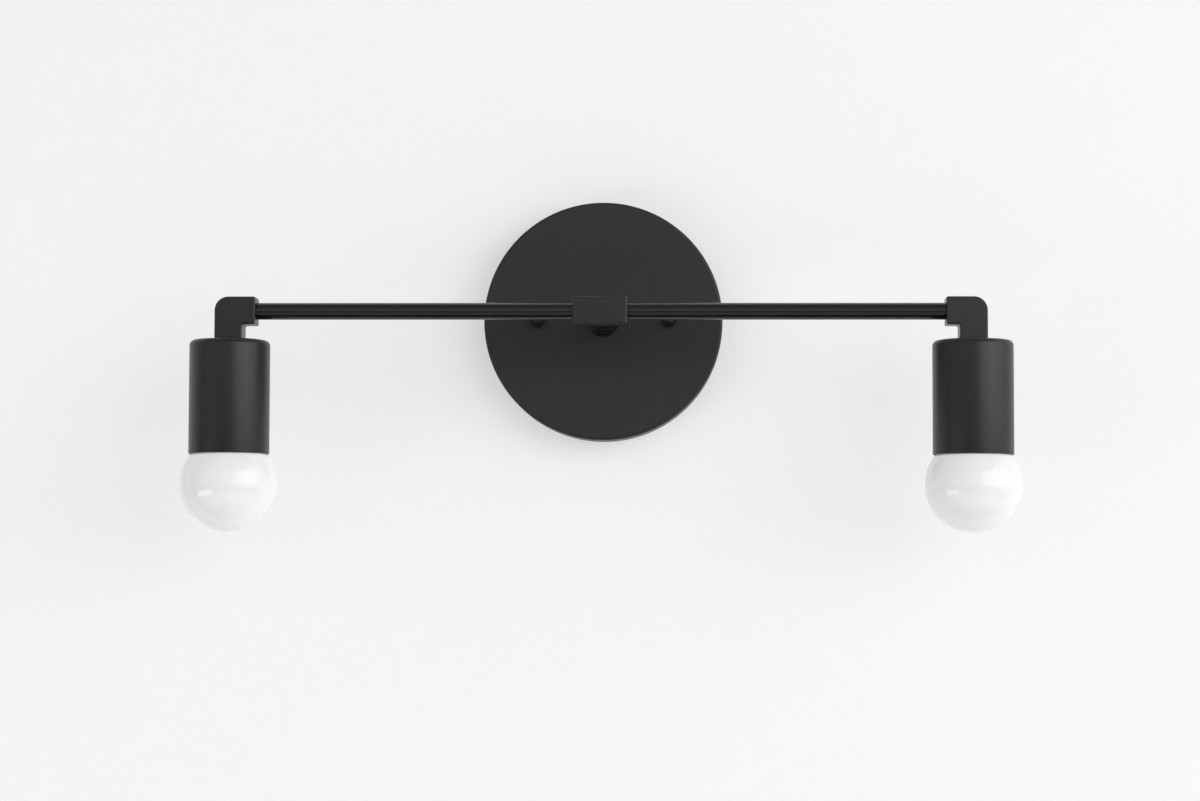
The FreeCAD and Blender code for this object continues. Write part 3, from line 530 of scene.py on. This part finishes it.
def thread_rows(radius, start, end, pitch, depth, run_out):
    """Profile points along a thread that fades to its root at both ends."""
    count = max(fewest_rows, round(abs(end - start) / pitch * rows_per_turn))
    rows = []
    for step in range(count + 1):
        along = start + (end - start) * step / count
        from_end = min(abs(along - start), abs(end - along))
        full = min(1, from_end / run_out)
        rows.append((radius - depth * (1 - full), along, full))
    return rows


def out_of_wall(across=0, out=0, up=0):
    """Turn a piece made along +Z to point into the room, and move it."""
    return Matrix.Translation((across, out, up)) @ Matrix.Rotation(math.pi / 2, 4, "X")


for side in ("left", "right"):
    low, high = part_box("canopy_stud_" + side)
    radius = (high.x - low.x) / 2
    length = high.y - low.y
    rows = thread_rows(radius, 0, length, stud_pitch, stud_thread_depth, stud_pitch)
    mesh = turned("threaded_stud_" + side, [(0, 0)] + rows + [(0, length)],
                  out_of_wall((low.x + high.x) / 2, up=(low.z + high.z) / 2), zinc,
                  steps=stud_steps, pitch=stud_pitch, depth=stud_thread_depth, sharp=stud_sharp)
    show("threaded_stud_" + side, mesh, "fixture", "zinc_steel", "canopy_stud_" + side)


# Stem, its collar, lock washer and nut
# A steel tube, threaded at its tail, runs from inside the canopy to the tee. The coated collar
# hides its hole in the canopy, and the nut pulls against it from inside.
pipe_pitch = 0.00094
pipe_thread_depth = 0.00045
pipe_bore = 0.003353
pipe_deburr = 0.0006
pipe_steps = 64
pipe_sharp = math.radians(60)
tail_thread = 0.011
washer_edge = 0.00008
collar_rim = 0.0008
collar_face = 0.0006
collar_step = 0.00025
collar_step_ease = 0.00012
collar_edge_ease = 0.00045
collar_slope = 24
collar_steps = 128
collar_sharp = math.radians(22)
coat_dark = (0.0060, 0.0060, 0.0063, 1)
coat_light = (0.0078, 0.0078, 0.0081, 1)
coat_cloud_scale = 45
coat_peel_scale = 1500
coat_peel_relief = 0.5
coat_peel_depth = 0.00008


def powder_coat(name, roughness, gloss):
    """Black powder coat: a fine orange peel, slightly uneven in gloss and tone."""
    material, tree, shader = new_shader(name)
    clouded(tree, shader, coat_dark, coat_light, coat_cloud_scale, detail=5)
    peel = noise(tree, coat_peel_scale, detail=3)
    uneven_gloss(tree, shader, peel, roughness, smoother=0.05, rougher=0.05)
    shader.inputs["Specular IOR Level"].default_value = gloss
    relief(tree, shader, peel, coat_peel_relief, coat_peel_depth)
    return material


def arc(middle, along, radius, start, end, steps=10):
    """Profile points round an arc. Angles are in degrees from straight out."""
    points = []
    for step in range(steps + 1):
        angle = math.radians(start + (end - start) * step / steps)
        points.append((middle + radius * math.cos(angle), along + radius * math.sin(angle)))
    return points


def pipe_profile(length, tail, ahead_tail=0):
    """A tube with its bore deburred, threaded over its tail and, if asked, over its other end."""
    rows = thread_rows(pipe_radius, 0, tail, pipe_pitch, pipe_thread_depth, pipe_pitch)
    if ahead_tail:
        rows += thread_rows(pipe_radius, length - ahead_tail, length, pipe_pitch,
                            pipe_thread_depth, pipe_pitch)
    else:
        rows += [(pipe_radius, tail + pipe_pitch), (pipe_radius, length)]
    bore = [(pipe_bore + pipe_deburr, length), (pipe_bore, length - pipe_deburr),
            (pipe_bore, pipe_deburr), (pipe_bore + pipe_deburr, 0)]
    return [bore[3]] + rows + bore


def collar_profile(outer, height):
    """A ring stepped down towards the room, its corners eased so that they catch the light."""
    face = pipe_radius + collar_face
    foot = (outer + face) / 2
    ledge = collar_rim + (height - collar_rim) / 2
    ease = collar_step_ease
    set_in = collar_edge_ease * math.tan(math.radians(45 - collar_slope / 2))
    points = [(pipe_radius, 0), (outer, 0)]
    points += arc(outer - ease, collar_rim - ease, ease, 0, 90, steps=4)
    points += [(outer - collar_step, collar_rim)]
    points += arc(foot - ease, ledge - ease, ease, collar_slope, 90, steps=4)
    points += [(foot - collar_step, ledge)]
    points += arc(face - set_in, height - collar_edge_ease, collar_edge_ease, collar_slope, 90,
                  steps=6)
    return points + [(pipe_radius, height), (pipe_radius, 0)]


tube_coat = powder_coat("black powder coat on tube", roughness=0.15, gloss=0.44)
low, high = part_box("stem")
pipe_radius = (high.x - low.x) / 2
mesh = turned("threaded_stem", pipe_profile(high.y - low.y, tail_thread), out_of_wall(out=high.y),
              tube_coat, steps=pipe_steps, pitch=pipe_pitch, depth=pipe_thread_depth,
              sharp=pipe_sharp)
show("threaded_stem", mesh, "fixture", "black_coat", "stem")
show("stem_nut", eased("stem_lock_nut", zinc), "fixture", "zinc_steel", "stem_lock_nut")
show("stem_washer", eased("stem_lock_washer", zinc, washer_edge), "fixture", "zinc_steel",
     "stem_lock_washer")
low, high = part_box("stem_collar")
mesh = turned("stepped_collar", collar_profile((high.x - low.x) / 2, high.y - low.y),
              out_of_wall(out=high.y), tube_coat, steps=collar_steps, sharp=collar_sharp)
show("stepped_collar", mesh, "fixture", "black_coat", "stem_collar")


# Canopy and cap nuts
# Spun steel cover, black inside and out, held by two domed nuts on the studs. The nuts are a
# little glossier.


def dress(material, *nodes):
    """Give frame nodes a better finish. Their shape stays."""
    for node in nodes:
        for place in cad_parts[node].material_slots:
            place.material = material


canopy_coat = powder_coat("black powder coat", roughness=0.46, gloss=0.52)
dress(canopy_coat, "canopy")
dress(tube_coat, "cap_nut_left", "cap_nut_right")


# Tee, arms and elbows
# Square brass fittings with eased edges, and steel tubes pressed in between them. All are coated
# black before they are put together, the tubes a little glossier.
fitting_coat = powder_coat("black powder coat on fittings", roughness=0.36, gloss=0.485)
dress(fitting_coat, "tee", "elbow_left", "elbow_right")
dress(tube_coat, "arm_left", "arm_right")


# Leads, ground lead and wire connectors
# Two insulated leads run through the arms to each lamp and meet in twist-on connectors inside
# the canopy. The bare copper earth lead ends in a ring lug under the stem's nut.
black_insulation = (0.018, 0.018, 0.018, 1)
white_insulation = (0.78, 0.78, 0.75, 1)
connector_orange = (0.80, 0.27, 0.04, 1)
copper_light = (0.80, 0.42, 0.26, 1)
copper_dark = (0.62, 0.30, 0.18, 1)
connector_edge = 0.00025
moulded_shade = 0.82
moulded_cloud_scale = 240
moulded_grain_scale = 3800
moulded_grain_depth = 0.00003


def moulded(name, color, roughness, grain=0.10):
    """Moulded or extruded plastic with a slight grain."""
    material, tree, shader = new_shader(name)
    shade = tuple(channel * moulded_shade for channel in color[:3]) + (1,)
    clouded(tree, shader, color, shade, moulded_cloud_scale, detail=3)
    peel = noise(tree, moulded_grain_scale, detail=2)
    uneven_gloss(tree, shader, peel, roughness, smoother=0.05, rougher=0.06)
    relief(tree, shader, peel, grain, moulded_grain_depth)
    return material


black_lead = moulded("black insulation", black_insulation, roughness=0.38)
white_lead = moulded("white insulation", white_insulation, roughness=0.38)
connector_plastic = moulded("connector plastic", connector_orange, roughness=0.42)
copper = plated("bare copper", copper_light, copper_dark, roughness=0.30)
dress(black_lead, "lead_black_left", "lead_black_right")
dress(white_lead, "lead_white_left", "lead_white_right")
dress(copper, "ground_lead")
for shade in ("black", "white"):
    node = "wire_connector_" + shade
    show("twist_connector_" + shade, eased(node, connector_plastic, connector_edge), "fixture",
         "connector_plastic", node)


# Socket cups
# Drawn steel cups with a round shoulder and an open mouth, coated black. A threaded nipple holds
# each under its elbow, with a lock washer and nut inside.
cup_wall = 0.0008
cup_shoulder = 0.0028
cup_lip = 0.00025
cup_hole_gap = 0.0003
cup_steps = 160


def cup_profile(radius, bottom, top):
    """Up the inside, round the lip, up the outside and over the shoulder to the hole."""
    hole = pipe_radius + cup_hole_gap
    shoulder_across, shoulder_up = radius - cup_shoulder, top - cup_shoulder
    points = [(hole, top - cup_wall)]
    points += arc(shoulder_across, shoulder_up, cup_shoulder - cup_wall, 90, 0)
    points += [(radius - cup_wall, bottom)]
    points += arc(radius - cup_lip, bottom + cup_lip, cup_lip, -90, 0, steps=5)
    points += arc(shoulder_across, shoulder_up, cup_shoulder, 0, 90)
    return points + [(hole, top), (hole, top - cup_wall)]


cup_coat = powder_coat("black powder coat on cups", roughness=0.36, gloss=0.44)
for side in ("left", "right"):
    low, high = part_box("socket_cup_" + side)
    middle = (low + high) / 2
    mesh = turned("drawn_cup_" + side, cup_profile((high.x - low.x) / 2, low.z, high.z),
                  Matrix.Translation((middle.x, middle.y, 0)), cup_coat, steps=cup_steps)
    show("drawn_cup_" + side, mesh, "fixture", "black_coat", "socket_cup_" + side)
    low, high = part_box("socket_nipple_" + side)
    length = high.z - low.z
    threaded = length / 2 - pipe_pitch
    mesh = turned("threaded_nipple_" + side, pipe_profile(length, threaded, threaded),
                  Matrix.Translation((middle.x, middle.y, low.z)), zinc, steps=pipe_steps,
                  pitch=pipe_pitch, depth=pipe_thread_depth, sharp=pipe_sharp)
    show("threaded_nipple_" + side, mesh, "fixture", "zinc_steel", "socket_nipple_" + side)
    for kind in ("cup_lock_nut_", "socket_bracket_"):
        show(kind + "eased_" + side, eased(kind + side, zinc), "fixture", "zinc_steel", kind + side)
    dress(zinc, "cup_lock_washer_" + side, "bracket_screws_" + side)


# Lampholders
# Glazed porcelain bodies with brass terminals, a rolled brass screw shell and a spring strip that
# meets the tip of the bulb.
porcelain_light = (0.84, 0.83, 0.79, 1)
porcelain_dark = (0.80, 0.78, 0.73, 1)
porcelain_cloud_scale = 120
brass_light = (0.80, 0.60, 0.29, 1)
brass_dark = (0.66, 0.47, 0.20, 1)


def glazed(shader, roughness, glaze, glaze_roughness):
    """A smooth glassy skin over the body."""
    shader.inputs["Roughness"].default_value = roughness
    shader.inputs["Coat Weight"].default_value = glaze
    shader.inputs["Coat Roughness"].default_value = glaze_roughness


porcelain, tree, shader = new_shader("glazed porcelain")
clouded(tree, shader, porcelain_light, porcelain_dark, porcelain_cloud_scale, detail=3)
glazed(shader, roughness=0.22, glaze=0.5, glaze_roughness=0.08)
brass = plated("bright brass", brass_light, brass_dark, roughness=0.24)
for side in ("left", "right"):
    dress(porcelain, "lampholder_" + side)
    dress(brass, "terminal_plates_" + side, "terminal_screws_" + side, "centre_contact_" + side,
          "screw_shell_" + side)


# Bulbs
# Opal glass globes in rolled metal bases, with a black glass insulator and a soldered tip. They
# unscrew from the lampholders.
opal_light = (0.96, 0.96, 0.955, 1)
opal_dark = (0.94, 0.94, 0.935, 1)
opal_cloud_scale = 30
opal_gloss = 0.1
opal_softness = 1
base_light = (0.82, 0.81, 0.78, 1)
base_dark = (0.70, 0.69, 0.66, 1)
solder_light = (0.66, 0.66, 0.67, 1)
solder_dark = (0.52, 0.52, 0.53, 1)
insulator_black = (0.012, 0.012, 0.014, 1)
wire_light = (0.40, 0.40, 0.42, 1)
wire_dark = (0.28, 0.28, 0.30, 1)
clear_tint = (0.95, 0.97, 0.96, 1)
clear_roughness = 0.03
clear_bending = 1.5
base_pitch = 0.003629
base_thread_depth = 0.0008
base_crest_level = -0.0568355
base_sheet = 0.00035
base_waist = 0.0115
base_skirt = 0.0049
base_roll = 0.0005
base_steps = 144
base_sharp = math.radians(50)
rim_start = 15
skirt_rows = 14
punch_count = 4
punch_reach = 0.0009
punch_depth = 0.0003

opal, tree, shader = new_shader("opal glass")
clouded(tree, shader, opal_light, opal_dark, opal_cloud_scale, detail=2)
glazed(shader, roughness=0.30, glaze=1, glaze_roughness=0.10)
shader.inputs["Specular IOR Level"].default_value = opal_gloss
shader.inputs["Diffuse Roughness"].default_value = opal_softness
base_metal = plated("rolled base metal", base_light, base_dark, roughness=0.26)
solder = plated("solder", solder_light, solder_dark, roughness=0.40)
black_glass = moulded("black glass", insulator_black, roughness=0.12, grain=0.03)
tungsten = plated("drawn wire", wire_light, wire_dark, roughness=0.45)
clear_glass, tree, shader = new_shader("clear glass")
shader.inputs["Base Color"].default_value = clear_tint
shader.inputs["Roughness"].default_value = clear_roughness
shader.inputs["Transmission Weight"].default_value = 1
shader.inputs["IOR"].default_value = clear_bending


def base_profile(radius, bottom, top):
    """A plain skirt, a step in, the rolled thread, and a rim turned over the insulator."""
    root = radius - base_thread_depth
    step = bottom + base_skirt
    skirt = [(radius, bottom + (base_skirt - base_roll) * row / skirt_rows)
             for row in range(skirt_rows)]
    shoulder = [(radius - base_thread_depth * (1 - math.cos(math.pi * share)) / 2,
                 step + base_roll * (2 * share - 1)) for share in (0, 0.25, 0.5, 0.75)]
    thread = thread_rows(radius, step + base_roll, top - base_roll, base_pitch,
                         base_thread_depth, base_pitch / 2)
    rim = arc(root - base_roll, top - base_roll, base_roll, rim_start, 90, steps=5)
    inside = [(base_waist, top), (base_waist, top - base_sheet),
              (root - base_sheet, top - base_sheet), (root - base_sheet, step - base_sheet),
              (radius - base_sheet, step - base_sheet), (radius - base_sheet, bottom)]
    return inside[-1:] + skirt + shoulder + thread + rim + inside


def punched(mesh, radius, level):
    """Punch marks round the skirt, where the metal is pressed into the glass neck."""
    for point in mesh.vertices:
        away = math.hypot(point.co.x, point.co.y)
        turn = math.atan2(point.co.y, point.co.x) * punch_count / math.tau
        aside = (turn - round(turn)) * math.tau / punch_count * away
        share = 1 - math.hypot(aside, point.co.z - level) / punch_reach
        if share > 0 and away > radius - base_sheet / 2:
            inward = 1 - punch_depth * (3 - 2 * share) * share ** 2 / away
            point.co.x *= inward
            point.co.y *= inward


for side, turn in (("left", 0), ("right", math.pi)):
    low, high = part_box("bulb_base_" + side)
    middle = (low + high) / 2
    radius = (high.x - low.x) / 2
    mesh = turned("rolled_base_" + side, base_profile(radius, low.z, high.z), Matrix.Identity(4),
                  base_metal, steps=base_steps, pitch=base_pitch, depth=base_thread_depth,
                  crest=base_crest_level, sharp=base_sharp)
    punched(mesh, radius, low.z + base_skirt / 2)
    mesh.transform(Matrix.Translation((middle.x, middle.y, 0)) @ Matrix.Rotation(turn, 4, "Z"))
    show("rolled_base_" + side, mesh, side + "_bulb", "base_metal", "bulb_base_" + side)
    dress(opal, "bulb_globe_" + side)
    dress(solder, "bulb_tip_" + side)
    dress(black_glass, "bulb_insulator_" + side)
    dress(clear_glass, "bulb_stem_" + side)
    dress(tungsten, "bulb_filament_" + side)
